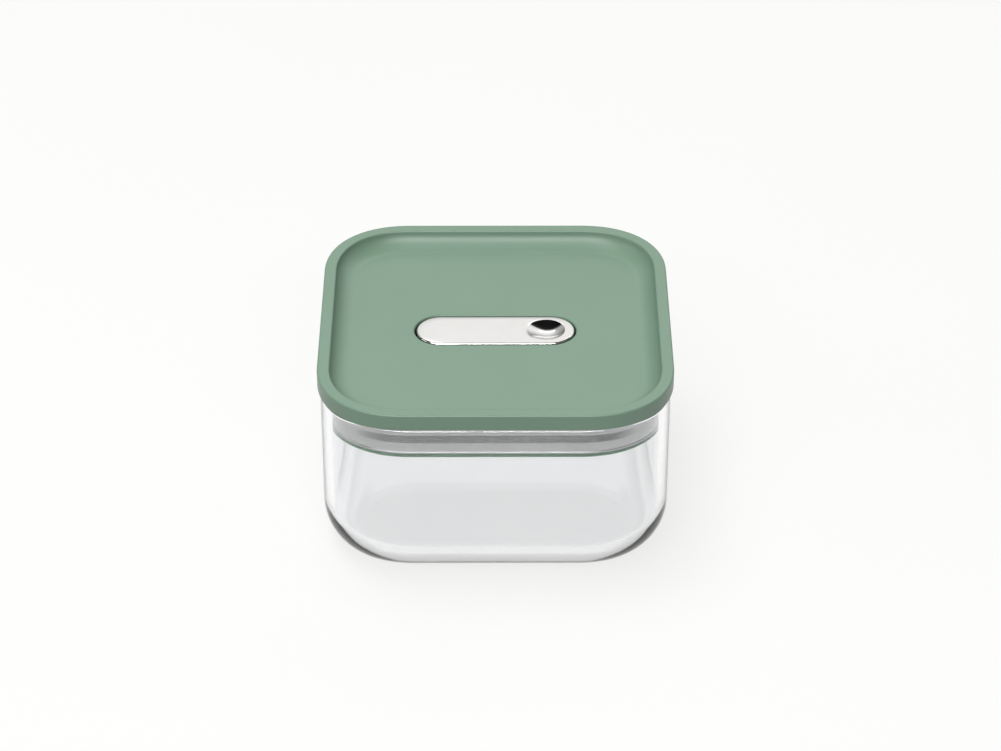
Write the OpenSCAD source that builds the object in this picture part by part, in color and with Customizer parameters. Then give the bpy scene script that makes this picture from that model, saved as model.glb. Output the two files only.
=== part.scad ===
// Square glass storage container with a lever-lock lid.
// The glass body stands on z = 0, centred on the Z axis. The lid is drawn locked.
// Pressing the dished end of the lever (+X) rocks it about its pin. Its cams then let
// the pull stem and the pressure plate down, and the squeezed gasket goes slack.

/* [Overall] */
// Width and depth of the lid cover
lid_w = 162; // [145:1:220]
// Corner radius of the lid cover
lid_r = 38; // [32:1:45]
// Height from the table to the lid's rim
total_h = 93; // [75:1:200]

/* [Glass body] */
// How far the cover stands out past the glass
overhang = 1; // [0.6:0.1:2]
// Corner radius of the glass outside
glass_r = 41; // [41:0.5:48]
// Thickness of the glass wall
glass_wall = 4.5; // [3:0.1:5.5]
// Thickness of the glass floor
glass_floor = 6; // [4:0.5:10]
// Radius where the outer wall turns into the base
base_fillet = 20; // [12:0.5:20]
// Radius where the inner wall turns into the floor
inner_fillet = 16; // [8:0.5:17]
// Depth of the hollow under the base
foot_depth = 0.8; // [0.4:0.1:2]
// Width of the ring that the glass stands on
foot_w = 7; // [4:0.5:12]

/* [Lid cover] */
// Height of the cover's outer side
cover_side = 8; // [7:0.5:12]
// Depth of the tray below the rim
tray_depth = 7.5; // [4:0.5:8]
// Width of the raised rim
rim_w = 5.5; // [4.5:0.1:8]
// Radius where the tray's wall turns into its floor
tray_fillet = 6; // [3:0.5:7]
// Thickness of the tray floor
cover_floor = 2.4; // [2:0.1:4]
// Rounding of the rim's edges
edge_r = 0.8; // [0.3:0.1:1.5]
// Height of the soft ring between the cover and the glass
rim_ring_h = 2; // [1.5:0.1:3]
// Width of the soft ring between the cover and the glass
rim_ring_w = 3; // [2:0.1:4]

/* [Seal] */
// Distance from the lid's rim down to the steel band's lower edge
band_drop = 23.8; // [22.6:0.2:32]
// Space between the steel band and the glass
band_gap = 1.5; // [1:0.1:3]
// Thickness of the steel band
band_t = 0.8; // [0.5:0.1:1.5]
// Space between the gasket's lip and the glass
lip_gap = 0.3; // [0.2:0.05:0.8]
// Height of the gasket's lip below the band
lip_t = 1.7; // [1.2:0.1:3]
// Height of the whole gasket when squeezed
gasket_h = 6.5; // [4:0.5:9]
// Width of the gasket behind the band
gasket_w = 7; // [4:0.5:10]
// Thickness of the seal carrier's walls and floor
carrier_t = 1.6; // [1.2:0.1:2.4]
// Thickness of the pressure plate
plate_t = 1.6; // [1.2:0.1:3]

/* [Lever] */
// Length of the lever
lever_l = 73.6; // [55:0.2:92]
// Width of the lever
lever_w = 23.2; // [23:0.2:32]
// Thickness of the lever at its ends
lever_t = 2.4; // [2:0.1:3]
// Thickness of the steel skin
skin_t = 1; // [0.6:0.1:1.2]
// Gap round the lever
lever_gap = 0.8; // [0.7:0.1:1.5]
// Distance from the lever's middle to the middle of its thumb dish
dish_x = 24; // [16:0.5:27]
// Width of the thumb dish
dish_d = 17.2; // [12:0.2:19]
// Depth of the thumb dish
dish_depth = 2.6; // [1:0.1:3]
// How far the pressed end sinks
press_travel = 9.5; // [6:0.1:9.8]
// How far the stem comes down when the lever is pressed
stem_drop = 1.8; // [1:0.1:2]

/* [Stem and pin] */
// Diameter of the pull stem
stem_d = 8; // [7:0.1:8]
// Diameter of the lever's pin
pin_d = 3.5; // [2.5:0.1:3.6]
// Depth of the pin's axis below the lever's top
pin_depth = 5.6; // [5.4:0.1:6]
// Height of the pin's axis above the cam plate
cam_h = 4.9; // [4.8:0.1:5.4]
// Radial clearance of a running fit
run_fit = 0.05; // [0.02:0.01:0.1]
// Wire diameter of the return spring
spring_wire = 0.9; // [0.6:0.1:1.1]
// Turns of the return spring
spring_turns = 2.5; // [2:0.5:3]

/* [Hidden] */
$fn = 64;

// Overlap that lets one cut run cleanly past another face
e = 0.01;

// Half widths and corner centres. Everything inside the lid follows the glass's corners.
lid_a = lid_w / 2;
lid_c = lid_a - lid_r;
glass_a = lid_a - overhang;
glass_c = glass_a - glass_r;
bore_a = glass_a - glass_wall;

// Heights in the cover
cover_low_z = total_h - cover_side;
tray_z = total_h - tray_depth;
cover_under_z = tray_z - cover_floor;

// The soft ring stands just proud of the cover's lower edge and meets the glass rim
ring_show = 0.3;
seat_gap = 0.1;
ring_low_z = cover_low_z - ring_show;
glass_h = ring_low_z - seat_gap;
// Flat left on top of the rounded glass rim
rim_flat = 0.3;

// The part of the cover that reaches down inside the glass
spigot_gap = 0.7;
spigot_a = bore_a - spigot_gap;
locating_h = 4;
locating_t = 1.8;
locating_gap = 0.2;

// Seal carrier, band and gasket, from the glass inwards
band_a = bore_a - band_gap;
fit_gap = 0.1;
carrier_a = band_a - band_t - fit_gap;
carrier_wall = 2.2;
carrier_low_z = total_h - band_drop;
carrier_floor_z = carrier_low_z + carrier_t;
flange_t = 0.8;
flange_out = 0.6;
flange_a = band_a + flange_out;
bead_r = 0.7;
bead_show = 0.4;
plate_top_z = carrier_low_z - lip_t;
plate_low_z = plate_top_z - plate_t;
gasket_top_z = plate_top_z + gasket_h;
gasket_in_a = carrier_a - gasket_w;
lip_a = bore_a - lip_gap;
lip_round = 0.7;
plate_set_back = 0.6;
plate_a = carrier_a - plate_set_back;

// Lever, pin and cam
lever_proud = 0.1;
lever_top_z = tray_z + lever_proud;
lever_r = lever_w / 2;
lever_s = (lever_l - lever_w) / 2;
skin_round = 1.2;
core_gap = 0.1;
pin_z = lever_top_z - pin_depth;
pin_r = pin_d / 2;
cam_seat_z = pin_z - cam_h;
cam_plate_t = 1;
cam_plate_r = 11;
swing = asin(press_travel / (lever_l / 2));
// Stem travel per radian of lever swing
cam_rate = stem_drop / (swing * PI / 180);
cam_clear = 0.05;
cam_toe_r = 1.2;
cam_heel_x = 4.5;
core_low = pin_depth - lever_t;
core_top = pin_depth - skin_t;
well_wall = 1.5;
well_gap = 0.3;

// Stem, its eye, and the cams beside it
stem_r = stem_d / 2;
eye_r = 3.8;
eye_half = 3.5;
shoulder_gap = 0.3;
eye_room = 1.2;
// Play round the stem where it passes through the hub's lip and the cam plate
lip_play = 0.3;
plate_play = 0.4;
washer_t = 0.5;
cam_in = eye_half + washer_t + 2 * fit_gap;
cam_w = 3.8;
cam_out = cam_in + cam_w;
clip_t = 0.6;
clip_r = 2.9;
pin_end = 0.7;
pin_half = cam_out + clip_t + pin_end;
washer_r = 3.6;

// Hub in the carrier: pedestal, bush, o-ring and spring pocket
pedestal_r = 11.6;
hub_hang = 0.7;
gland_lip = 0.4;
gland_h = 1.4;
pocket_roof = 1.7;
pedestal_z = cam_seat_z - cam_plate_t;
hub_r = 6.6;
hub_low_z = plate_top_z + hub_hang;
bush_r = 5.3;
gland_low_z = hub_low_z + gland_lip;
bush_low_z = gland_low_z + gland_h;
pocket_r = 10.2;
pocket_top_z = pedestal_z - pocket_roof;
spring_r = (hub_r + pocket_r) / 2;
spring_gap = 0.02;

// Screw under the pressure plate
boss_r = 10;
boss_h = 2.5;
screw_r = 1.5;
head_r = 3.6;
head_h = 1.6;
socket_r = 4.2;
socket_top_z = plate_low_z + fit_gap;
plug_h = 0.9;
screw_l = 9;
hex_r = 1.4;
hex_depth = 0.9;
plug_fit = 0.02;

// Stop pads under the lever's two ends
post_in = 7.6;
post_x = lever_l / 2 - post_in;
post_r = 3;
pad_r = 2.2;
pad_h = 0.6;
pad_gap = 0.05;
left_pad_z = pin_z + core_low - pad_gap;
// Lowest corner of the pressed end, measured below the pin's rest height
pressed_low = lever_l / 2 * sin(swing) - core_low * cos(swing) + stem_drop;
right_pad_z = pin_z - pressed_low - pad_gap;

sage = [0.56, 0.66, 0.59];
deep_sage = [0.40, 0.52, 0.43];
steel = [0.80, 0.80, 0.80];
white_plastic = [0.90, 0.90, 0.88];

// Carries a section round a rounded square whose corner centres are c from the axis.
// The section's x runs outwards from the corner centres and its y is the height.
module square_sweep(c) {
    for (turn = [0 : 90 : 270])
        rotate([0, 0, turn]) {
            translate([c, 0, 0])
                rotate([90, 0, 0])
                    linear_extrude(2 * c, center = true)
                        children();
            translate([c, c, 0])
                rotate_extrude(angle = 90, $fn = 128)
                    children();
        }
}

// Fills the middle of a rounded square between two heights
module square_core(c, z0, z1) {
    translate([-c, -c, z0])
        cube([2 * c, 2 * c, z1 - z0]);
}

// A solid rounded square between two heights, half width a
module square_slab(a, c, z0, z1) {
    square_sweep(c)
        translate([0, z0])
            square([a - c, z1 - z0]);
    square_core(c, z0, z1);
}

// A ring with the rounded square's outline, from half width a0 out to a1
module square_ring(a0, a1, c, z0, z1) {
    square_sweep(c)
        translate([a0 - c, z0])
            square([a1 - a0, z1 - z0]);
}

// Carries a section round a stadium whose end centres are s from the axis along X
module stadium_sweep(s) {
    for (side = [-1, 1])
        translate([side * s, 0, 0])
            rotate([0, 0, -90 * side])
                rotate_extrude(angle = 180)
                    children();
    rotate([90, 0, 90])
        linear_extrude(2 * s, center = true) {
            children();
            mirror([1, 0])
                children();
        }
}

// A solid stadium between two heights, with end radius r
module stadium(s, r, z0, z1) {
    stadium_sweep(s)
        translate([0, z0])
            square([r, z1 - z0]);
}

// A rectangle from the axis out to width w, with its lower outer corner rounded
module cup_section(w, z0, z1, r) {
    translate([0, z0])
        square([w - r, z1 - z0]);
    translate([0, z0 + r])
        square([w, z1 - z0 - r]);
    translate([w - r, z0 + r])
        circle(r, $fn = 96);
}

// What is cut from a corner to round it. It sits at the rounding's centre, facing +X +Y.
module corner_cut(r) {
    difference() {
        square(r + e);
        circle(r);
    }
}

module glass_section() {
    outer = glass_a - glass_c;
    inner = bore_a - glass_c;
    rim_r = (glass_wall - rim_flat) / 2;
    difference() {
        cup_section(outer, 0, glass_h, base_fillet);
        cup_section(inner, glass_floor, total_h, inner_fillet);
        translate([-1, -1])
            square([outer - base_fillet - foot_w + 1, foot_depth + 1]);
        translate([outer - rim_r, glass_h - rim_r])
            corner_cut(rim_r);
        translate([inner + rim_r, glass_h - rim_r])
            mirror([1, 0])
                corner_cut(rim_r);
    }
}

module glass_body() {
    color([0.85, 0.88, 0.9, 0.35]) {
        square_sweep(glass_c)
            glass_section();
        square_core(glass_c, foot_depth, glass_floor);
    }
}

module rim_ring() {
    middle = bore_a + glass_wall / 2;
    color(deep_sage)
        square_ring(
            middle - rim_ring_w / 2, middle + rim_ring_w / 2,
            glass_c, ring_low_z, ring_low_z + rim_ring_h
        );
}

// The raised rim and the tray, above the glass
module cover_section() {
    outer = lid_a - lid_c;
    inner = outer - rim_w;
    difference() {
        translate([0, cover_low_z])
            square([outer, cover_side]);
        cup_section(inner, tray_z, total_h + 1, tray_fillet);
        translate([outer - edge_r, total_h - edge_r])
            corner_cut(edge_r);
        translate([inner + edge_r, total_h - edge_r])
            mirror([1, 0])
                corner_cut(edge_r);
        translate([outer - edge_r / 2, cover_low_z + edge_r / 2])
            mirror([0, 1])
                corner_cut(edge_r / 2);
    }
}

// The opening for the lever, with its upper edge rounded over
module lever_opening() {
    mouth_r = lever_r + lever_gap;
    stadium(lever_s, mouth_r, carrier_floor_z, total_h);
    stadium_sweep(lever_s)
        translate([mouth_r, tray_z - edge_r])
            difference() {
                translate([-e, 0])
                    square([edge_r + e, edge_r + e]);
                translate([edge_r, 0])
                    circle(edge_r);
            }
}

module lid_cover() {
    well_r = lever_r + lever_gap + well_wall;
    well_low_z = carrier_floor_z + well_gap;
    locate_a = carrier_a - carrier_wall - locating_gap;
    color(sage)
        difference() {
            union() {
                square_sweep(lid_c)
                    cover_section();
                square_core(lid_c, cover_low_z, tray_z);
                square_slab(spigot_a, glass_c, cover_under_z, cover_low_z + e);
                stadium(lever_s, well_r, well_low_z, cover_under_z + e);
                square_ring(
                    locate_a - locating_t, locate_a,
                    glass_c, cover_under_z - locating_h, cover_under_z + e
                );
            }
            lever_opening();
            rim_ring();
        }
}

module carrier_section() {
    outer = carrier_a - glass_c;
    low_outer = gasket_in_a - glass_c - fit_gap;
    shelf_z = gasket_top_z;
    translate([0, carrier_low_z])
        square([low_outer, carrier_t]);
    translate([low_outer - carrier_t, carrier_low_z])
        square([carrier_t, shelf_z + carrier_t - carrier_low_z]);
    translate([low_outer - carrier_t, shelf_z])
        square([outer - low_outer + carrier_t, carrier_t]);
    translate([outer - carrier_wall, shelf_z])
        square([carrier_wall, cover_under_z - shelf_z]);
    translate([outer - carrier_wall, cover_under_z - flange_t])
        square([flange_a - carrier_a + carrier_wall, flange_t]);
}

module seal_carrier() {
    color(white_plastic)
        difference() {
            union() {
                square_sweep(glass_c)
                    carrier_section();
                square_core(glass_c, carrier_low_z, carrier_floor_z);
                translate([0, 0, carrier_low_z])
                    cylinder(r = pedestal_r, h = pedestal_z - carrier_low_z);
                translate([0, 0, hub_low_z])
                    cylinder(r = hub_r, h = pedestal_z - hub_low_z);
                translate([-post_x, 0, carrier_low_z + carrier_t / 2])
                    cylinder(r = post_r, h = left_pad_z - pad_h - carrier_low_z - carrier_t / 2);
            }
            difference() {
                translate([0, 0, carrier_low_z - e])
                    cylinder(r = pocket_r, h = pocket_top_z - carrier_low_z + e);
                translate([0, 0, carrier_low_z - 2 * e])
                    cylinder(r = hub_r, h = pocket_top_z - carrier_low_z + 4 * e);
            }
            translate([0, 0, hub_low_z - e])
                cylinder(r = stem_r + lip_play, h = pedestal_z);
            translate([0, 0, gland_low_z])
                cylinder(r = bush_r, h = pedestal_z);
        }
}

module steel_band() {
    outer = band_a - glass_c;
    color(steel)
        square_sweep(glass_c) {
            translate([outer - band_t, carrier_low_z + bead_r])
                square([band_t, cover_under_z - flange_t - carrier_low_z - bead_r]);
            intersection() {
                translate([outer - bead_r + bead_show, carrier_low_z + bead_r])
                    circle(bead_r);
                translate([outer - band_t, carrier_low_z])
                    square([2 * bead_r, 2 * bead_r]);
            }
        }
}

module gasket() {
    inner = gasket_in_a - glass_c;
    outer = carrier_a - glass_c;
    lip = lip_a - glass_c;
    lip_top_z = carrier_low_z - fit_gap;
    color(deep_sage)
        square_sweep(glass_c) {
            translate([inner, plate_top_z])
                square([outer - inner, gasket_h]);
            difference() {
                translate([outer - e, plate_top_z])
                    square([lip - outer + e, lip_top_z - plate_top_z]);
                translate([lip - lip_round, lip_top_z - lip_round])
                    corner_cut(lip_round);
                translate([lip - lip_round, plate_top_z + lip_round])
                    mirror([0, 1])
                        corner_cut(lip_round);
            }
        }
}

module pressure_plate() {
    color(white_plastic)
        difference() {
            union() {
                square_slab(plate_a, glass_c, plate_low_z, plate_top_z);
                translate([0, 0, plate_low_z - boss_h])
                    cylinder(r = boss_r, h = boss_h + e);
            }
            translate([0, 0, plate_low_z - boss_h - e])
                cylinder(r = socket_r, h = socket_top_z - plate_low_z + boss_h + e);
            translate([0, 0, plate_low_z])
                cylinder(r = screw_r + fit_gap, h = plate_t + e);
        }
}

// The shoulder under the eye stays above the cam plate when the stem is down, so only
// the flattened round neck below it enters the plate's hole.
module pull_stem() {
    neck_z = pin_z - eye_r;
    shoulder_z = cam_seat_z + stem_drop + shoulder_gap;
    color(steel)
        difference() {
            union() {
                translate([0, 0, plate_top_z])
                    cylinder(r = stem_r, h = neck_z - plate_top_z);
                intersection() {
                    translate([0, 0, neck_z - e])
                        cylinder(r = stem_r, h = shoulder_z - neck_z + 2 * e);
                    translate([-stem_d, -eye_half, neck_z - 1])
                        cube([2 * stem_d, 2 * eye_half, stem_d]);
                }
                translate([-eye_r, -eye_half, shoulder_z])
                    cube([2 * eye_r, 2 * eye_half, pin_z - shoulder_z]);
                translate([0, 0, pin_z])
                    rotate([90, 0, 0])
                        cylinder(r = eye_r, h = 2 * eye_half, center = true);
            }
            translate([0, 0, pin_z])
                rotate([90, 0, 0])
                    cylinder(r = pin_r + run_fit, h = 2 * eye_half + 1, center = true);
            translate([0, 0, plate_top_z - e])
                cylinder(r = screw_r, h = screw_l - socket_top_z + plate_low_z);
        }
}

module stem_bush() {
    color("ivory")
        translate([0, 0, bush_low_z])
            difference() {
                cylinder(r = bush_r, h = pedestal_z - bush_low_z);
                translate([0, 0, -1])
                    cylinder(r = stem_r + run_fit, h = pedestal_z);
            }
}

module stem_seal() {
    bore_r = stem_r + run_fit;
    wire_r = (bush_r - bore_r) / 2;
    color([0.2, 0.2, 0.2])
        translate([0, 0, (gland_low_z + bush_low_z) / 2])
            rotate_extrude()
                translate([bore_r + wire_r, 0])
                    circle(wire_r);
}

// A wire of radius w wound round the Z axis: ring k of the wire's skin
function coil_ring(k, rings, sides, z0, z1, w) =
    let (
        share = k / rings,
        turn = 360 * spring_turns * share,
        z = z0 + (z1 - z0) * share
    )
    [for (j = [0 : sides - 1])
        let (
            around = 360 * j / sides,
            reach = spring_r + w * cos(around)
        )
        [reach * cos(turn), reach * sin(turn), z + w * sin(around)]
    ];

module return_spring() {
    w = spring_wire / 2;
    sides = 10;
    rings = 64;
    z0 = plate_top_z + w + spring_gap;
    z1 = pocket_top_z - w - spring_gap;
    points = [for (k = [0 : rings]) each coil_ring(k, rings, sides, z0, z1, w)];
    skin = [
        for (k = [0 : rings - 1], j = [0 : sides - 1])
            let (next = (j + 1) % sides)
            [k * sides + j, k * sides + next, (k + 1) * sides + next, (k + 1) * sides + j]
    ];
    first_end = [for (j = [sides - 1 : -1 : 0]) j];
    last_end = [for (j = [0 : sides - 1]) rings * sides + j];
    color(steel)
        polyhedron(points, concat([first_end], skin, [last_end]), convexity = 8);
}

module stem_screw() {
    color(steel) {
        translate([0, 0, socket_top_z - e])
            cylinder(r = screw_r, h = screw_l);
        difference() {
            translate([0, 0, socket_top_z - head_h])
                cylinder(r = head_r, h = head_h);
            translate([0, 0, socket_top_z - head_h - e])
                cylinder(r = hex_r, h = hex_depth, $fn = 6);
        }
    }
}

module screw_plug() {
    color(deep_sage)
        translate([0, 0, plate_low_z - boss_h])
            cylinder(r = socket_r - plug_fit, h = plug_h);
}

module cam_plate() {
    color(steel)
        translate([0, 0, pedestal_z])
            difference() {
                cylinder(r = cam_plate_r, h = cam_plate_t);
                translate([0, 0, -1])
                    cylinder(r = stem_r + plate_play, h = cam_plate_t + 2);
            }
}

module stop_pads() {
    color([0.3, 0.3, 0.3]) {
        translate([-post_x, 0, left_pad_z - pad_h])
            cylinder(r = pad_r, h = pad_h);
        translate([post_x, 0, carrier_floor_z])
            cylinder(r = pad_r, h = right_pad_z - carrier_floor_z);
    }
}

// Steel skin: a shallow inverted tray with a spherical thumb dish pressed into it
module lever_plate() {
    ball_r = (pow(dish_d / 2, 2) + pow(dish_depth, 2)) / (2 * dish_depth);
    ball_z = lever_top_z + ball_r - dish_depth;
    color(steel)
        difference() {
            union() {
                stadium_sweep(lever_s)
                    difference() {
                        translate([0, lever_top_z - lever_t])
                            square([lever_r, lever_t]);
                        translate([0, lever_top_z - lever_t - e])
                            square([lever_r - skin_t, lever_t - skin_t + e]);
                        translate([lever_r - skin_round, lever_top_z - skin_round])
                            corner_cut(skin_round);
                    }
                intersection() {
                    translate([dish_x, 0, ball_z])
                        sphere(ball_r + skin_t, $fn = 128);
                    translate([dish_x, 0, lever_top_z - dish_depth - 2 * skin_t])
                        cylinder(r = dish_d / 2 + skin_t, h = dish_depth + 1.5 * skin_t);
                }
            }
            translate([dish_x, 0, ball_z])
                sphere(ball_r, $fn = 128);
        }
}

// Cam outline about the pin. While the lever swings by t degrees the plate's plane turns
// about the cam, and its distance from the pin falls by cam_rate for each radian.
function cam_point(t) =
    let (reach = cam_h - cam_clear - cam_rate * t * PI / 180)
    [
        reach * sin(t) - cam_rate * cos(t),
        -reach * cos(t) - cam_rate * sin(t)
    ];

module cam_outline() {
    steps = 8;
    contact = [for (k = [0 : steps]) cam_point(swing * k / steps)];
    toe = [-cam_rate, cam_toe_r - cam_h + cam_clear];
    round_toe = [
        for (k = [0 : steps - 1])
            toe + cam_toe_r * [-cos(90 * k / steps), -sin(90 * k / steps)]
    ];
    last = contact[steps];
    heel = [cam_heel_x, last[1] + (cam_heel_x - last[0]) * tan(swing)];
    top = core_low + e;
    polygon(concat(
        [[toe[0] - cam_toe_r, top]],
        round_toe,
        contact,
        [heel, [cam_heel_x, top]]
    ));
}

module lever_core() {
    plug_r = lever_r - skin_t - core_gap;
    color([0.35, 0.36, 0.36])
        difference() {
            union() {
                stadium(lever_s, plug_r, pin_z + core_low, pin_z + core_top);
                for (side = [-1, 1])
                    translate([0, side * (cam_in + cam_w / 2), pin_z])
                        rotate([90, 0, 0])
                            linear_extrude(cam_w, center = true)
                                cam_outline();
            }
            translate([-eye_r - eye_room, -cam_in, pin_z])
                cube([2 * (eye_r + eye_room), 2 * cam_in, pin_depth]);
            translate([dish_x, 0, pin_z])
                cylinder(r = dish_d / 2 + skin_t + core_gap, h = pin_depth);
            translate([0, 0, pin_z])
                rotate([90, 0, 0])
                    cylinder(r = pin_r, h = 2 * cam_out + 1, center = true);
        }
}

module lever_pin() {
    color(steel)
        translate([0, 0, pin_z])
            rotate([90, 0, 0])
                cylinder(r = pin_r, h = 2 * pin_half, center = true);
}

// A pair of rings on the pin, one each side, between y0 and y0 + t
module pin_rings(r, y0, t) {
    for (side = [-1, 1])
        translate([0, side * (y0 + t / 2), pin_z])
            rotate([90, 0, 0])
                difference() {
                    cylinder(r = r, h = t, center = true);
                    cylinder(r = pin_r, h = t + 1, center = true);
                }
}

module friction_washers() {
    color("ivory")
        pin_rings(washer_r, eye_half + fit_gap, washer_t);
}

module pin_clips() {
    color(steel)
        pin_rings(clip_r, cam_out, clip_t);
}

glass_body();
rim_ring();
lid_cover();
seal_carrier();
steel_band();
gasket();
pressure_plate();
pull_stem();
stem_bush();
stem_seal();
return_spring();
stem_screw();
screw_plug();
cam_plate();
stop_pads();
lever_plate();
lever_core();
lever_pin();
friction_washers();
pin_clips();
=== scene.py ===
import math

import bmesh
import bpy
import numpy as np
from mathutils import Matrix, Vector


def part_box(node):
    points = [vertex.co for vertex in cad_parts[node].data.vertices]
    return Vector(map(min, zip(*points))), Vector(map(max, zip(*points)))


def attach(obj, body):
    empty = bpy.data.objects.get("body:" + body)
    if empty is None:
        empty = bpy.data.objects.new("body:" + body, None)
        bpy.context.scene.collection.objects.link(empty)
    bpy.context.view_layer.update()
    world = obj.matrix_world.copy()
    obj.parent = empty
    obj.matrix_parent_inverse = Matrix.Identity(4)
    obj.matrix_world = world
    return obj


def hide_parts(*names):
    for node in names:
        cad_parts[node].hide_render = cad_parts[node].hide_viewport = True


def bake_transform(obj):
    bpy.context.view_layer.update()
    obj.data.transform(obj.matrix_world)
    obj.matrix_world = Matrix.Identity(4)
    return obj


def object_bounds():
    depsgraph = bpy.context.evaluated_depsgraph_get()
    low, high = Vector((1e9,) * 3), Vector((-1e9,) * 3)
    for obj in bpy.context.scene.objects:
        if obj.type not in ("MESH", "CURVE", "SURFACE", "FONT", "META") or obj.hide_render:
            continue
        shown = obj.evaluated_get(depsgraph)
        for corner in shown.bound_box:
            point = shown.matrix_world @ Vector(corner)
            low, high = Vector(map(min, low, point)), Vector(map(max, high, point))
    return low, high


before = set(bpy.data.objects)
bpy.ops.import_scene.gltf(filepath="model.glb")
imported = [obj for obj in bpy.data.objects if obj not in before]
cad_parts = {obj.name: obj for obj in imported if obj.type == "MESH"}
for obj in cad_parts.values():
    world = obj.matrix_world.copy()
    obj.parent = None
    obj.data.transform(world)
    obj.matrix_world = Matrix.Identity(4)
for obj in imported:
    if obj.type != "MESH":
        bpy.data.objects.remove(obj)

# A square glass food container with a lever-lock lid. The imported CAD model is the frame:
# every size below that isn't in a dictionary is read from the CAD nodes' boxes.

mm = 0.001
mergeGap = 0.0005 * mm     # mesh points nearer than this are one point
noLength = 1e-9            # keeps a division from failing where two corners are both sharp
sideUse = 0.999            # share of a side that its two arcs may fill, so that they never touch
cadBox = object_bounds()
boxOf = {name: [np.array(corner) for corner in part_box(name)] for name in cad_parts}


def halfWidth(node):
    return boxOf[node][1][0]


def lowOf(node):
    return boxOf[node][0][2]


def topOf(node):
    return boxOf[node][1][2]


# sRGB hex to the linear colour that shaders take
def linear(hexColour):
    parts = [int(hexColour[i:i + 2], 16) / 255 for i in (1, 3, 5)]
    return [p / 12.92 if p <= 0.04045 else ((p + 0.055) / 1.055) ** 2.4 for p in parts] + [1]


# Adds one shader node. links are its inputs, each a value or a socket to join; settings are its
# own properties. Gives back the output named out.
def addNode(tree, kind, links, out=0, **settings):
    node = tree.nodes.new("ShaderNode" + kind)
    for key, value in settings.items():
        setattr(node, key, value)
    for key, value in links.items():
        if isinstance(value, bpy.types.NodeSocket):
            tree.links.new(value, node.inputs[key])
        else:
            node.inputs[key].default_value = linear(value) if isinstance(value, str) else value
    return node.outputs[out] if len(node.outputs) else node


# An empty material and the object coordinates that its patterns read
def newMaterial(name):
    material = bpy.data.materials.new(name)
    material.use_nodes = True
    material.node_tree.nodes.clear()
    return material, material.node_tree, addNode(material.node_tree, "TexCoord", {}, "Object")


# Points round a quarter of each outline: in its corner, and along its straight
bodySteps = {"corner": 48, "side": 16}


# Outline of a rounded square and the way each point faces. A corner is a quarter of a
# superellipse |x|^p + |y|^p = r^p. With q = p / (p - 1) the point that faces the angle t is
# r cos(t)^(q/p) / (cos(t)^q + sin(t)^q)^(1/p), and the same with sin for y.
def roundedSquare(half, corner, softness):
    t = np.linspace(0, math.pi / 2, bodySteps["corner"] + 1)
    cosine, sine = np.cos(t).clip(0, 1), np.sin(t).clip(0, 1)
    q = softness / (softness - 1)
    size = (cosine ** q + sine ** q) ** (1 / softness)
    centre = half - corner
    bend = centre + corner * np.stack([cosine, sine], 1) ** (q / softness) / size[:, None]
    share = np.arange(1, bodySteps["side"] + 1) / (bodySteps["side"] + 1)
    side = np.stack([centre * (1 - 2 * share), np.full_like(share, half)], 1)
    points = np.concatenate([bend, side])
    faces = np.concatenate([np.stack([cosine, sine], 1), np.tile([0.0, 1.0], (len(share), 1))])
    turns = [np.array([[c, s], [-s, c]]) for c, s in ((1, 0), (0, 1), (-1, 0), (0, -1))]
    return np.concatenate([points @ m for m in turns]), np.concatenate([faces @ m for m in turns])


# Outline of a stadium along X, two half circles joined by straights, and the way its points face.
# With the same steps it has as many points as roundedSquare gives, so that the two can be joined.
def stadium(halfLength, radius, steps=bodySteps):
    bend, side = steps["corner"] + 1, steps["side"]
    centre = halfLength - radius
    quarter = np.linspace(0, math.pi / 2, bend)
    longer = math.pi / 2 + np.linspace(0, math.pi / 2, bend + side, endpoint=False)
    share = np.arange(1, side + 1) / (side + 1)
    angle = np.concatenate([quarter, np.full(side, math.pi / 2), longer])
    shift = np.concatenate([
        np.full(bend, centre), centre * (1 - 2 * share), np.full(bend + side, -centre),
    ])
    angle = np.concatenate([angle, angle + math.pi])
    shift = np.concatenate([shift, -shift])
    faces = np.stack([np.cos(angle), np.sin(angle)], 1)
    return faces * radius + np.stack([shift, np.zeros_like(shift)], 1), faces


# A section's points from its corners (out, up, radius), and the way each faces: every corner
# becomes an arc about the middle that lies radius / sin(half angle) along the corner's bisector.
# Two neighbouring arcs share the side between them in proportion to their radii. The section runs
# with the solid on its left.
def roundedPath(corners, closed=False, steps=8):
    out = []
    count = len(corners)
    for i, (x, y, r) in enumerate(corners):
        here = np.array([x, y])
        before = np.array(corners[i - 1][:2]) - here
        after = np.array(corners[(i + 1) % count][:2]) - here
        if not closed and i in (0, count - 1):
            along = after if i == 0 else -before
            out.append([*here, along[1] / np.hypot(*along), -along[0] / np.hypot(*along)])
            continue
        shares = [r / max(r + corners[k][2], noLength) for k in (i - 1, (i + 1) % count)]
        room = sideUse * min(np.hypot(*before) * shares[0], np.hypot(*after) * shares[1])
        before, after = before / np.hypot(*before), after / np.hypot(*after)
        half = math.acos(np.clip(before @ after, -1, 1)) / 2
        r = min(r, room * math.tan(half))
        middle = here + (before + after) / np.linalg.norm(before + after) * r / math.sin(half)
        sweep = math.pi - 2 * half
        turn = np.sign(after[0] * before[1] - after[1] * before[0])     # 1 where it turns left
        angle = np.linspace(0, sweep, max(3, round(steps * sweep / (math.pi / 2)) + 1)) * turn
        way = np.array([-before[1], before[0]])                          # faces right of the path
        ways = np.stack([
            way[0] * np.cos(angle) - way[1] * np.sin(angle),
            way[0] * np.sin(angle) + way[1] * np.cos(angle),
        ], 1)
        out += np.concatenate([middle + ways * r * turn, ways], 1).tolist()
    return np.array(out)


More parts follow.
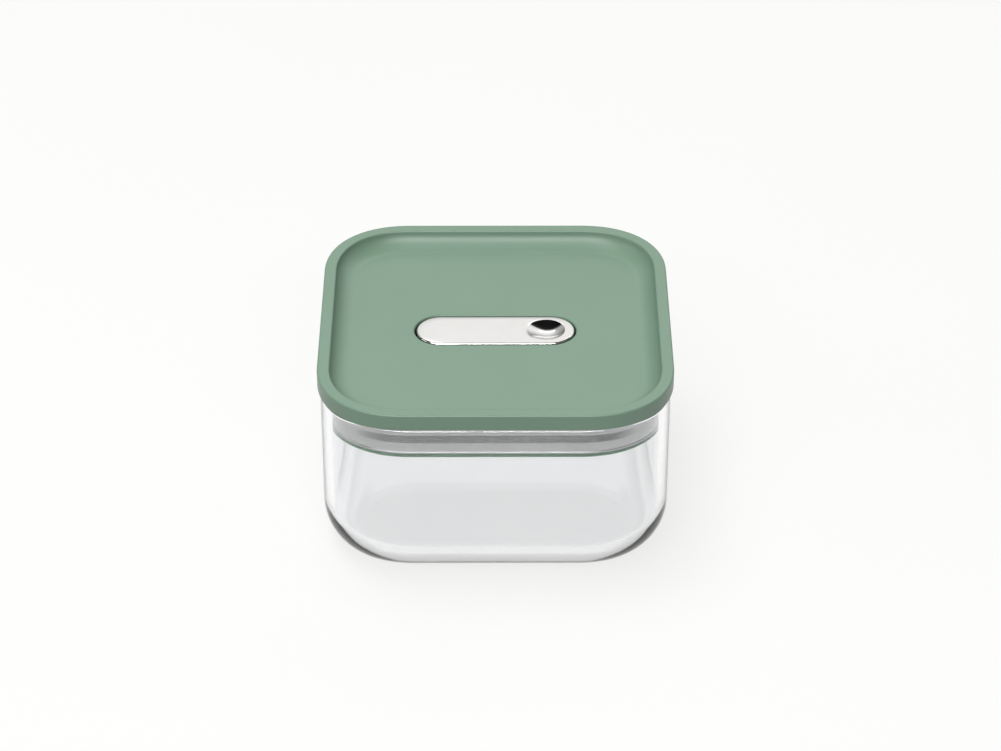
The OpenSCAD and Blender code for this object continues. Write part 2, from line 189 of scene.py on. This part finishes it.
# One ring for each point (out, up) of the path: the outline moved outwards by out, at height up,
# with the way each point faces beside its place
def offsetRings(outline, path):
    points, faces = outline
    flat = points[None] + faces[None] * path[:, 0, None, None]
    up = np.broadcast_to(path[:, 1, None, None], flat.shape[:2] + (1,))
    level = faces[None] * path[:, 2, None, None]
    rise = np.broadcast_to(path[:, 3, None, None], flat.shape[:2] + (1,))
    return np.concatenate([flat, up, level, rise], 2)


# Copies of a flat ring drawn in towards the axis by each share, for a floor
def shrunkRings(ring, shares):
    rings = np.repeat(ring[None], len(shares), 0)
    rings[..., :2] *= np.array(shares)[:, None, None]
    return rings


# Skins a stack of rings. An open stack is closed with a fan at each end, unless its end rings
# fall together in a line. Where the rings say which way each point faces, the shading uses that.
def loft(name, rings, material, body, closed=False, capped=True):
    count, around = rings.shape[:2]
    last = count if closed else count - 1
    i, j = np.meshgrid(np.arange(last), np.arange(around), indexing="ij")
    nextI, nextJ = (i + 1) % count, (j + 1) % around
    quads = np.stack([
        i * around + j, i * around + nextJ, nextI * around + nextJ, nextI * around + j,
    ], 2)
    points = rings.reshape(-1, rings.shape[2])
    faces = quads.reshape(-1, 4).tolist()
    if not closed and capped:
        centres = np.stack([rings[0].mean(0), rings[-1].mean(0)])
        first, second = len(points), len(points) + 1
        points = np.concatenate([points, centres])
        k = np.arange(around)
        n = (k + 1) % around
        top = (count - 1) * around
        faces += np.stack([np.full(around, first), n, k], 1).tolist()
        faces += np.stack([np.full(around, second), top + k, top + n], 1).tolist()
    mesh = bpy.data.meshes.new(name)
    mesh.from_pydata(points[:, :3].tolist(), [], faces)
    if not capped:
        shape = bmesh.new()
        shape.from_mesh(mesh)
        bmesh.ops.remove_doubles(shape, verts=shape.verts, dist=mergeGap)
        bmesh.ops.recalc_face_normals(shape, faces=shape.faces)
        shape.to_mesh(mesh)
        shape.free()
    mesh.validate()
    mesh.polygons.foreach_set("use_smooth", np.ones(len(mesh.polygons), bool))
    if capped:
        mesh.normals_split_custom_set_from_vertices(points[:, 3:].tolist())
    mesh.materials.append(material)
    piece = bpy.data.objects.new(name, mesh)
    bpy.context.scene.collection.objects.link(piece)
    if body:
        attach(piece, body)
    return piece


skinDepth = 0.02 * mm      # how deep the skin of a moulding is
steelPatch = 14 * mm       # size of the lighter and darker patches in steel


# A moulded or turned surface: a cloud that mixes two near shades, patches that are duller or
# shinier, and a fine skin. cloud, touch and skin are (size, detail) of a noise; shader adds to it.
def makeMoulded(name, look):
    material, tree, place = newMaterial(name)
    cloud, touch, skin = [addNode(tree, "TexNoise", {
        "Vector": place, "Scale": 1 / size, "Detail": detail,
    }, "Fac") for size, detail in (look["cloud"], look["touch"], look["skin"])]
    colour = addNode(tree, "Mix", {
        "Factor": cloud, "A": look["shades"][0], "B": look["shades"][1],
    }, "Result", data_type="RGBA")
    rough = addNode(tree, "MapRange", {
        "Value": touch, "To Min": look["roughness"][0], "To Max": look["roughness"][1],
    })
    normal = addNode(tree, "Bump", {
        "Height": skin, "Distance": skinDepth, "Strength": look["skinLevel"],
    })
    shader = addNode(tree, "BsdfPrincipled", {
        "Base Color": colour, "Roughness": rough, "Normal": normal, **look.get("shader", {}),
    })
    addNode(tree, "OutputMaterial", {"Surface": shader})
    return material


# Stainless steel with a grain drawn out along the axes with a low count, as rolling, turning or
# polishing leaves it. It blurs reflections more across the grain than along it. grain is the
# number of waves to a metre along X, Y and Z.
def makeSteel(name, look):
    material, tree, place = newMaterial(name)
    patch = addNode(tree, "TexNoise", {"Vector": place, "Scale": 1 / steelPatch, "Detail": 3}, "Fac")
    colour = addNode(tree, "Mix", {
        "Factor": patch, "A": look["shades"][0], "B": look["shades"][1],
    }, "Result", data_type="RGBA")
    drawn = addNode(tree, "Mapping", {"Vector": place, "Scale": look["grain"]})
    grain = addNode(tree, "TexNoise", {
        "Vector": drawn, "Scale": 1, "Detail": 4, "Roughness": 0.65,
    }, "Fac")
    rough = addNode(tree, "MapRange", {
        "Value": grain, "To Min": look["roughness"][0], "To Max": look["roughness"][1],
    })
    normal = addNode(tree, "Bump", {"Height": grain, "Distance": look["grainDepth"], "Strength": 0.5})
    shader = addNode(tree, "BsdfPrincipled", {
        "Base Color": colour, "Metallic": 1, "Roughness": rough, "Normal": normal,
    })
    addNode(tree, "OutputMaterial", {"Surface": shader})
    return material


glassLook = {
    "shades": ("#F9FAFC", "#FCFDFE"),
    "wave": 22 * mm,          # length of the mould's waves, and how deep they are
    "waveDepth": 0.12 * mm,
    "waveLevel": 0.1,
    "touch": 8 * mm,
    "roughness": (0, 0.02),
    "index": 1.51,            # of refraction, as soda-lime glass has
}


# Pressed soda-lime glass, fire-polished: clear, with the faint wave that the mould leaves
def makeGlass():
    g = glassLook
    material, tree, place = newMaterial("sodaLimePressed")
    wave = addNode(tree, "TexNoise", {"Vector": place, "Scale": 1 / g["wave"], "Roughness": 0.4}, "Fac")
    colour = addNode(tree, "Mix", {
        "Factor": wave, "A": g["shades"][0], "B": g["shades"][1],
    }, "Result", data_type="RGBA")
    touch = addNode(tree, "TexNoise", {"Vector": place, "Scale": 1 / g["touch"], "Detail": 3}, "Fac")
    rough = addNode(tree, "MapRange", {
        "Value": touch, "To Min": g["roughness"][0], "To Max": g["roughness"][1],
    })
    normal = addNode(tree, "Bump", {
        "Height": wave, "Distance": g["waveDepth"], "Strength": g["waveLevel"],
    })
    shader = addNode(tree, "BsdfPrincipled", {
        "Base Color": colour, "Roughness": rough, "Normal": normal,
        "Transmission Weight": 1, "IOR": g["index"],
    })
    addNode(tree, "OutputMaterial", {"Surface": shader})
    return material


# Moulded rubber, silicone or nitrile: a soft sheen, slightly dusty
rubberLook = {
    "cloud": (6 * mm, 4), "touch": (3 * mm, 3), "roughness": (0.45, 0.62),
    "skin": (0.6 * mm, 2), "skinLevel": 0.4, "shader": {"Sheen Weight": 0.15},
}
# Plastic of the inner works: even, with a slight cloud and a fine skin
plasticLook = {"touch": (5 * mm, 3), "skin": (0.8 * mm, 2), "skinLevel": 0.4}

# An even sage with soft, slightly uneven highlights. The real grain of the spark-eroded tool is
# about 0.1 mm; it is drawn coarser so that it shows.
coverPlastic = makeMoulded("absSatinMoulded", {
    "shades": ("#546A5A", "#586E5E"), "cloud": (35 * mm, 3), "touch": (9 * mm, 4),
    "roughness": (0.34, 0.42), "skin": (0.45 * mm, 3), "skinLevel": 0.35,
    "shader": {"Specular IOR Level": 0.45},
})
# Matt green of the ring and the gasket's lip, a shade stronger than the cover
sageSilicone = makeMoulded("siliconeMoulded", {**rubberLook, "shades": ("#4C7A5A", "#578566")})
# Dull black of the o-ring and the pads
blackRubber = makeMoulded("nitrileMoulded", {**rubberLook, "shades": ("#121212", "#1C1C1C")})
# Near mirror with faint lines along the lever
leverSteel = makeSteel("stainlessPolished", {
    "shades": ("#D6D5D3", "#DEDDDB"), "roughness": (0.08, 0.15),
    "grain": (60, 900, 900), "grainDepth": 0.0015 * mm,
})
# Grey satin that smears reflections up and down the band
bandSteel = makeSteel("stainlessSatinRolled", {
    "shades": ("#ABABAA", "#B6B6B5"), "roughness": (0.16, 0.26),
    "grain": (40, 40, 2500), "grainDepth": 0.002 * mm,
})
# Duller grey with the rings that a lathe leaves
worksSteel = makeSteel("stainlessTurned", {
    "shades": ("#A9A9A8", "#B8B8B6"), "roughness": (0.25, 0.40),
    "grain": (300, 300, 2500), "grainDepth": 0.01 * mm,
})
clearGlass = makeGlass()
# Milky white with a low sheen
carrierPlastic = makeMoulded("polypropyleneMoulded", {
    **plasticLook, "shades": ("#DCDEDA", "#E6E7E3"), "cloud": (4 * mm, 4), "roughness": (0.38, 0.50),
})
# Dark grey, mottled by its glass fibre
corePlastic = makeMoulded("nylonGlassFilled", {
    **plasticLook, "shades": ("#3B3D3E", "#4A4C4C"), "cloud": (1.2 * mm, 4), "roughness": (0.45, 0.65),
})
# Ivory, smoother than the moulded parts
bearingPlastic = makeMoulded("acetalTurned", {
    **plasticLook, "shades": ("#D9D4C3", "#E4E0D0"), "cloud": (4 * mm, 4), "roughness": (0.25, 0.35),
})
print("materials made")


glassShape = {
    "corner": 43 * mm,        # corner radius of the outside
    "softness": 2.2,
    "wall": 4.5 * mm,
    "floor": 6 * mm,
    "outerFillet": 20.5 * mm,
    "innerFillet": 16.5 * mm,
    "rimOuter": 3.3 * mm,     # rounding of the rim's outer edge, and of its inner edge
    "rimInner": 1.1 * mm,
    "footDepth": 0.8 * mm,
    "footWidth": 7 * mm,
    "footSlope": 0.35,        # the base rises by footDepth over this share of its width
    "floorFlat": 8 * mm,      # flat of the floor inside the fillet that keeps the fillet's shape
    "hollowShares": (0.1, 0.95, 18),         # smallest and largest ring under the base, and how many
    "floorShares": (0.75, 0.5, 0.25),        # rings on the floor, as shares of its outline
    "arcSteps": 20,
}


# The section goes from the foot over the outside and the rim to the floor inside. The base is
# hollowed by footDepth, along the smooth step 3 t^2 - 2 t^3, so that it stands on a ring.
def makeGlassBody():
    g = glassShape
    half, high = halfWidth("glass_body"), topOf("glass_body")
    outline = roundedSquare(half, g["corner"], g["softness"])
    footIn = -(g["outerFillet"] + g["footWidth"])
    path = roundedPath([
        (footIn, 0, 0),
        (0, 0, g["outerFillet"]),
        (0, high, g["rimOuter"]),
        (-g["wall"], high, g["rimInner"]),
        (-g["wall"], g["floor"], g["innerFillet"]),
        (-g["wall"] - g["innerFillet"] - g["floorFlat"], g["floor"], 0),
    ], steps=g["arcSteps"])
    rings = offsetRings(outline, path)
    shares = np.linspace(*g["hollowShares"])
    hollow = shrunkRings(rings[0], shares)
    rise = np.clip((1 - shares) / g["footSlope"], 0, 1)
    hollow[..., 2] = (g["footDepth"] * rise ** 2 * (3 - 2 * rise))[:, None]
    rings = np.concatenate([hollow, rings, shrunkRings(rings[-1], g["floorShares"])])
    piece = loft("glassBody", rings, clearGlass, "glass")
    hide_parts("glass_body")


makeGlassBody()
print("glass body made")


coverShape = {
    "corner": 40.5 * mm,      # corner radius of the outside
    "softness": 2.2,
    "rim": 5.5 * mm,
    "trayDepth": 7.5 * mm,
    "wallSlope": 2.6 * mm,    # the tray's wall leans in by this much
    "trayFillet": 9 * mm,
    "side": 8 * mm,           # height of the outer wall, and the rounding of its edges
    "edge": 0.9 * mm,
    "lowEdge": 0.54 * mm,
    "lipWidth": 2 * mm,       # flat on the wall's underside
    "leverGap": 0.8 * mm,
    "mouthRound": 0.9 * mm,
    "wellWall": 1.5 * mm,
    "floor": 2.4 * mm,
    "wellEdge": 0.3 * mm,
    "wellRoot": 1 * mm,       # rounding where the well meets the tray's underside
    "spigotIn": 5.2 * mm,     # the part that goes down inside the glass, in from the glass outside
    "spigotEdge": 0.4 * mm,
    "spigotStep": 0.8 * mm,   # flat under the rim, between the spigot and the wall
    "endFlat": 4 * mm,        # flat that each section ends in
    "rootFlat": 3 * mm,
    "arcSteps": 14,
}


# One closed skin in three sections: the outer wall, rim and tray; the lever's well; and the
# underside out to the spigot. They have the same number of points round, so they join up.
def makeLidCover():
    c = coverShape
    half, top = halfWidth("lid_cover"), topOf("lid_cover")
    tray, sideLow, under = top - c["trayDepth"], top - c["side"], top - c["trayDepth"] - c["floor"]
    glassHalf = halfWidth("glass_body")
    outer = roundedSquare(half, c["corner"], c["softness"])
    inner = roundedSquare(glassHalf, glassShape["corner"], glassShape["softness"])
    leverBox = boxOf["lever_plate"]
    mouth = stadium(leverBox[1][0] + c["leverGap"], leverBox[1][1] + c["leverGap"])
    wellLow = lowOf("lid_cover")
    rise = roundedPath([
        (-c["lipWidth"], sideLow, 0),
        (0, sideLow, c["lowEdge"]),
        (0, top, c["edge"]),
        (-c["rim"], top, c["edge"]),
        (-c["rim"] - c["wallSlope"], tray, c["trayFillet"]),
        (-c["rim"] - c["wallSlope"] - c["trayFillet"] - c["endFlat"], tray, 0),
    ], steps=c["arcSteps"])
    well = roundedPath([
        (c["endFlat"], tray, 0),
        (0, tray, c["mouthRound"]),
        (0, wellLow, c["wellEdge"]),
        (c["wellWall"], wellLow, c["wellEdge"]),
        (c["wellWall"], under, c["wellRoot"]),
        (c["wellWall"] + c["rootFlat"], under, 0),
    ])
    spigot = roundedPath([
        (-c["spigotIn"] - c["endFlat"], under, 0),
        (-c["spigotIn"], under, c["spigotEdge"]),
        (-c["spigotIn"], sideLow, c["spigotEdge"]),
        (-c["spigotIn"] + c["spigotStep"], sideLow, 0),
    ])
    rings = np.concatenate([
        offsetRings(outer, rise), offsetRings(mouth, well), offsetRings(inner, spigot),
    ])
    piece = loft("lidCover", rings, coverPlastic, "lid", closed=True)
    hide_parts("lid_cover")


makeLidCover()
print("lid cover made")


# A ring that follows the glass's outline. corners are (out from the glass outside, up, radius).
def makeSquareRing(name, node, corners, material, body, steps=6):
    outline = roundedSquare(halfWidth("glass_body"), glassShape["corner"], glassShape["softness"])
    rings = offsetRings(outline, roundedPath(corners, closed=True, steps=steps))
    piece = loft(name, rings, material, body, closed=True)
    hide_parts(node)
    return piece


rimRingShape = {"width": 3 * mm, "lowRound": 0.5 * mm, "highRound": 0.3 * mm}


def makeRimRing():
    s = rimRingShape
    low, high = lowOf("rim_ring"), topOf("rim_ring")
    out = halfWidth("rim_ring") - halfWidth("glass_body")
    makeSquareRing("rimRing", "rim_ring", [
        (out - s["width"], low, s["lowRound"]), (out, low, s["lowRound"]),
        (out, high, s["highRound"]), (out - s["width"], high, s["highRound"]),
    ], sageSilicone, "lid")


bandShape = {
    "in": 6.4 * mm,           # the upper part's place, in from the glass outside
    "thick": 0.8 * mm,
    "edge": 0.2 * mm,
    "bead": 0.6 * mm,         # radius of the bead along the lower edge
    "beadOut": 0.3 * mm,      # how far it stands out
    "beadTop": 1.32 * mm,     # height at which it has gone back to the wall
    "beadRoot": 0.4 * mm,
    "flare": 1.3 * mm,        # how far the band's lower part stands out past its upper part
    "flareLow": 5.7 * mm,     # heights above the band's lower edge where the flare starts and ends
    "flareHigh": 9.4 * mm,
    "flareRound": 2.5 * mm,
}


def makeSteelBand():
    s = bandShape
    low, high = lowOf("steel_band"), topOf("steel_band")
    face = -s["in"]
    out = face + s["flare"]
    makeSquareRing("steelBand", "steel_band", [
        (face - s["thick"], low, s["edge"]),
        (out + s["beadOut"], low, s["bead"]),
        (out + s["beadOut"], low + 2 * s["bead"], s["bead"]),
        (out, low + s["beadTop"], s["beadRoot"]),
        (out, low + s["flareLow"], s["flareRound"]),
        (face, low + s["flareHigh"], s["flareRound"]),
        (face, high, s["edge"]),
        (face - s["thick"], high, s["edge"]),
    ], bandSteel, "lid")


gasketShape = {
    "lipRound": 0.75 * mm,
    "gap": 0.1 * mm,          # room between the gasket and the band
    "width": 7 * mm,          # of the body, inside the band
    "edge": 0.4 * mm,
    "root": 0.1 * mm,
}


# The gasket is squeezed between the lid and the plate, so it rides on neither
def makeGasket():
    s = gasketShape
    low, high = lowOf("gasket"), topOf("gasket")
    out = halfWidth("gasket") - halfWidth("glass_body")
    lipTop = lowOf("steel_band") - s["gap"]
    face = -bandShape["in"] - bandShape["thick"] - s["gap"]
    piece = makeSquareRing("gasket", "gasket", [
        (face - s["width"], low, s["edge"]), (out, low, s["lipRound"]), (out, lipTop, s["lipRound"]),
        (face, lipTop, s["root"]), (face, high, s["edge"]), (face - s["width"], high, s["edge"]),
    ], sageSilicone, None)
    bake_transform(piece)


makeRimRing()
makeSteelBand()
makeGasket()
print("rings made")


leverShape = {
    "skin": 1 * mm,
    "thick": 2.4 * mm,
    "roll": 0.8 * mm,         # radius of the rolled edge
    "domeWidth": 3.6 * mm,    # the top falls away this far in from the edge
    "domeDepth": (0.03 * mm, 0.35 * mm),     # by this much at the front and at the back
    "endWidth": 5 * mm,       # and this far in, and this deep, at the left end
    "endDepth": 0.35 * mm,
    "endStart": -12 * mm,
    "dishX": 24.0 * mm,
    "dishRadius": 8.4 * mm,
    "dishLeft": 1.2 * mm,     # how much further the dish runs out on its left
    "dishDepth": 2.6 * mm,
    "dishLip": (0.02, 0.07),  # softness of its edge, and how much softer it is on the left
    "dishFade": (1, 1.3),     # the lip's tail fades out between these shares of the dish
    "innerRound": 0.4 * mm,   # rounding where the skin's turned-down edge meets its underside
    "edgeRound": 0.2 * mm,
    "steps": {"corner": 40, "side": 90},
    "ringsBelow": 16,
    "ringsAbove": 90,
}


# How far the lever's top lies below its highest level: a dome that falls by (1 - d / width)^2
# within a width of the edge, d being the distance in from the edge, and the thumb dish, a bowl
# 1 - s^2 that ends at s = 1, drawn out to the left, with a rounded lip.
def leverDrop(x, y):
    s = leverShape
    halfLong, radius = boxOf["lever_plate"][1][:2]
    axis = np.clip(x, radius - halfLong, halfLong - radius)
    inward = radius - np.hypot(x - axis, y)
    left = np.clip((s["endStart"] - x) / (halfLong + s["endStart"]), 0, 1)
    left = left ** 2 * (3 - 2 * left)
    back = np.clip(y / radius, 0, 1)
    depth = s["domeDepth"][0] + (s["domeDepth"][1] - s["domeDepth"][0]) * back
    side = depth * np.clip(1 - inward / s["domeWidth"], 0, 1) ** 2
    end = s["endDepth"] * np.clip(1 - inward / s["endWidth"], 0, 1) ** 2
    dome = side * (1 - left) + end * left
    dx = x - s["dishX"]
    lean = np.clip(-dx / s["dishRadius"], 0, 1)
    edge = np.hypot(dx, y) / (s["dishRadius"] + s["dishLeft"] * lean ** 2)
    lip = s["dishLip"][0] + s["dishLip"][1] * lean
    inside = 1 - edge ** 2
    bowl = s["dishDepth"] * (inside + np.sqrt(inside ** 2 + lip ** 2)) / 2
    fadeIn, fadeOut = s["dishFade"]
    fade = np.clip((fadeOut - edge) / (fadeOut - fadeIn), 0, 1)
    return dome + bowl * fade ** 2 * (3 - 2 * fade)


# The rings run from the middle of the underside, out, round the rolled edge and in over the top
def makeLeverPlate():
    s = leverShape
    halfLong, radius = boxOf["lever_plate"][1][:2]
    high = topOf("lever_plate")
    low, under = high - s["thick"], high - s["skin"]
    outline = stadium(halfLong, radius, s["steps"])
    edge = roundedPath([
        (-radius * 0.5, under, 0),
        (-s["skin"], under, s["innerRound"]),
        (-s["skin"], low, s["edgeRound"]),
        (0, low, s["edgeRound"]),
        (0, high, s["roll"]),
        (-radius * 0.5, high, 0),
    ])[1:-1]
    below = np.linspace(-radius, edge[0, 0], s["ringsBelow"])[:-1]
    above = np.linspace(edge[-1, 0], -radius, s["ringsAbove"])[1:]
    path = np.zeros((len(below) + len(edge) + len(above), 4))
    path[:, 0] = np.concatenate([below, edge[:, 0], above])
    path[:, 1] = np.concatenate([np.full_like(below, under), edge[:, 1], np.full_like(above, high)])
    rings = offsetRings(outline, path)
    rings[..., 2] -= leverDrop(rings[..., 0], rings[..., 1])
    piece = loft("leverPlate", rings, leverSteel, "lever", capped=False)
    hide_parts("lever_plate")


makeLeverPlate()
print("lever plate made")


# The works stay as CAD nodes and only get a finish
nodeFinish = {
    "seal_carrier": carrierPlastic, "pressure_plate": carrierPlastic, "pull_stem": worksSteel,
    "stem_bush": bearingPlastic, "stem_seal": blackRubber, "return_spring": worksSteel,
    "stem_screw": worksSteel, "screw_plug": sageSilicone, "cam_plate": worksSteel,
    "stop_pads": blackRubber, "lever_core": corePlastic, "lever_pin": worksSteel,
    "friction_washers": bearingPlastic, "pin_clips": worksSteel,
}
for nodeName, finish in nodeFinish.items():
    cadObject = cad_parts[nodeName]
    for materialSlot in cadObject.material_slots:
        materialSlot.link = "OBJECT"
        materialSlot.material = finish
print("CAD nodes finished")


stageLook = {
    "floorGlow": 0.77,        # light the floor gives out itself, as a light table does
    "floorDark": "#565656",   # what it scatters of the lamps' light, which is where the shadow shows
    "floorLight": "#5A5A5A",
    "floorPatch": 400 * mm,
    "floorReach": 12.0,
    "floorGap": 0.05 * mm,    # room under the glass
    "backSky": 1.2,           # level of the room behind the object
    "frontSky": 0.12,         # and in front of it
    "frontToBack": (-0.7, 0.55),             # it goes from one to the other between these depths
    "leftSky": 0.45,          # share of it that is left towards the left
    "leftEdge": (-0.5, -0.05),
    "lowSky": 0.4,            # and low down
    "lowEdge": (0.15, 0.56),
    "flagAngle": 80,          # middle of the dark strip, in degrees up from straight behind
    "flagEdge": (20, 28),     # it is full dark within the first angle and gone past the second
    "flagLevel": 0.01,
}


# A light table: it glows evenly and scatters a little of what falls on it
def makeFloor():
    material, tree, place = newMaterial("paleAcrylicSheet")
    cloud = addNode(tree, "TexNoise", {"Vector": place, "Scale": 1 / stageLook["floorPatch"]}, "Fac")
    colour = addNode(tree, "Mix", {
        "Factor": cloud, "A": stageLook["floorDark"], "B": stageLook["floorLight"],
    }, "Result", data_type="RGBA")
    scatter = addNode(tree, "BsdfDiffuse", {"Color": colour})
    glow = addNode(tree, "Emission", {"Color": "#FFFFFD", "Strength": stageLook["floorGlow"]})
    both = addNode(tree, "AddShader", {0: scatter, 1: glow})
    addNode(tree, "OutputMaterial", {"Surface": both})
    reach, z = stageLook["floorReach"], cadBox[0][2] - stageLook["floorGap"]
    corners = [(-reach, -reach, z), (reach, -reach, z), (reach, reach, z), (-reach, reach, z)]
    mesh = bpy.data.meshes.new("studioFloor")
    mesh.from_pydata(corners, [], [(0, 1, 2, 3)])
    mesh.materials.append(material)
    floor = bpy.data.objects.new("studioFloor", mesh)
    bpy.context.scene.collection.objects.link(floor)


# The room: white behind the object, dim in front, with a dark strip of ceiling above it. The way
# a ray goes is (X, Y, Z), with Y 1 straight behind and -1 straight in front.
def makeWorld():
    s = stageLook
    world = bpy.data.worlds.new("studioWorld")
    bpy.context.scene.world = world
    world.use_nodes = True
    tree = world.node_tree
    tree.nodes.clear()
    way = addNode(tree, "TexCoord", {}, "Generated")
    depth = addNode(tree, "SeparateXYZ", {0: way}, "Y")
    room = addNode(tree, "MapRange", {
        "Value": depth, "From Min": s["frontToBack"][0], "From Max": s["frontToBack"][1],
        "To Min": s["frontSky"], "To Max": s["backSky"],
    }, interpolation_type="SMOOTHSTEP")
    side = addNode(tree, "SeparateXYZ", {0: way}, "X")
    wall = addNode(tree, "MapRange", {
        "Value": side, "From Min": s["leftEdge"][0], "From Max": s["leftEdge"][1],
        "To Min": s["leftSky"], "To Max": 1,
    }, interpolation_type="SMOOTHSTEP")
    middle = math.radians(s["flagAngle"])
    across = addNode(tree, "VectorMath", {0: way, 1: (0, 1, 1)}, operation="MULTIPLY")
    across = addNode(tree, "VectorMath", {0: across}, operation="NORMALIZE")
    near = addNode(tree, "VectorMath", {
        0: across, 1: (0, math.cos(middle), math.sin(middle)),
    }, "Value", operation="DOT_PRODUCT")
    flag = addNode(tree, "MapRange", {
        "Value": near,
        "From Min": math.cos(math.radians(s["flagEdge"][1])),
        "From Max": math.cos(math.radians(s["flagEdge"][0])),
        "To Min": 1, "To Max": s["flagLevel"],
    }, interpolation_type="SMOOTHSTEP")
    level = addNode(tree, "Math", {0: room, 1: flag}, operation="MULTIPLY")
    level = addNode(tree, "Math", {0: level, 1: wall}, operation="MULTIPLY")
    height = addNode(tree, "SeparateXYZ", {0: way}, "Z")
    rise = addNode(tree, "MapRange", {
        "Value": height, "From Min": s["lowEdge"][0], "From Max": s["lowEdge"][1],
        "To Min": s["lowSky"], "To Max": 1,
    }, interpolation_type="SMOOTHSTEP")
    level = addNode(tree, "Math", {0: level, 1: rise}, operation="MULTIPLY")
    sky = addNode(tree, "Background", {"Color": "#FDFDFD", "Strength": level})
    addNode(tree, "OutputWorld", {"Surface": sky})


lampDistance = 3.0


# A rectangular lamp aimed at the object, from the azimuth and elevation in degrees, its size in
# metres and its brightness against white. Azimuth 0 is straight behind and 90 the right side.
def softbox(name, azimuth, elevation, size, brightness, seenInGloss=True):
    light = bpy.data.lights.new(name, "AREA")
    light.shape = "RECTANGLE"
    light.size, light.size_y = size
    light.energy = brightness * math.pi * size[0] * size[1]
    lamp = bpy.data.objects.new(name, light)
    a, e = math.radians(azimuth), math.radians(elevation)
    way = Vector((math.sin(a) * math.cos(e), math.cos(a) * math.cos(e), math.sin(e)))
    lamp.location = way * lampDistance + Vector((0, 0, topOf("lid_cover")))
    lamp.rotation_euler = way.to_track_quat("Z", "Y").to_euler()
    lamp.visible_glossy = seenInGloss
    bpy.context.scene.collection.objects.link(lamp)


cameraSetup = {
    "lens": 115.3,
    "distance": 1487.2 * mm,  # from the middle of the lid's rim
    "elevation": 33.08,
    "tilt": 34.14,            # how far the view looks down
    "pan": 0.1087,            # how far it looks to the right
    "sensor": 36,
    "clip": (0.05, 60),
}


def makeCamera():
    s = cameraSetup
    camera = bpy.data.cameras.new("studioCamera")
    camera.sensor_width = s["sensor"]
    camera.lens = s["lens"]
    camera.clip_start, camera.clip_end = s["clip"]
    view = bpy.data.objects.new("studioCamera", camera)
    rise = math.radians(s["elevation"])
    high = topOf("lid_cover") + s["distance"] * math.sin(rise)
    view.location = (0, -s["distance"] * math.cos(rise), high)
    view.rotation_euler = (math.radians(90 - s["tilt"]), 0, -math.radians(s["pan"]))
    bpy.context.scene.collection.objects.link(view)
    bpy.context.scene.camera = view


makeFloor()
makeWorld()
softbox("keyBox", -160, 50, (3.0, 2.2), 3.5)
softbox("rimStrip", 180, 38, (2.6, 0.25), 24)
softbox("leftBox", -95, 25, (1.4, 1.0), 2)
softbox("backStrip", 0, 46, (2.0, 0.3), 2.2)
softbox("topBox", -60, 78, (1.6, 1.6), 14.5, seenInGloss=False)
makeCamera()
scene = bpy.context.scene
scene.view_settings.view_transform = "Standard"
scene.cycles.use_denoising = True
scene.cycles.max_bounces = 24
scene.cycles.transmission_bounces = 24
scene.cycles.glossy_bounces = 8
print("stage made")
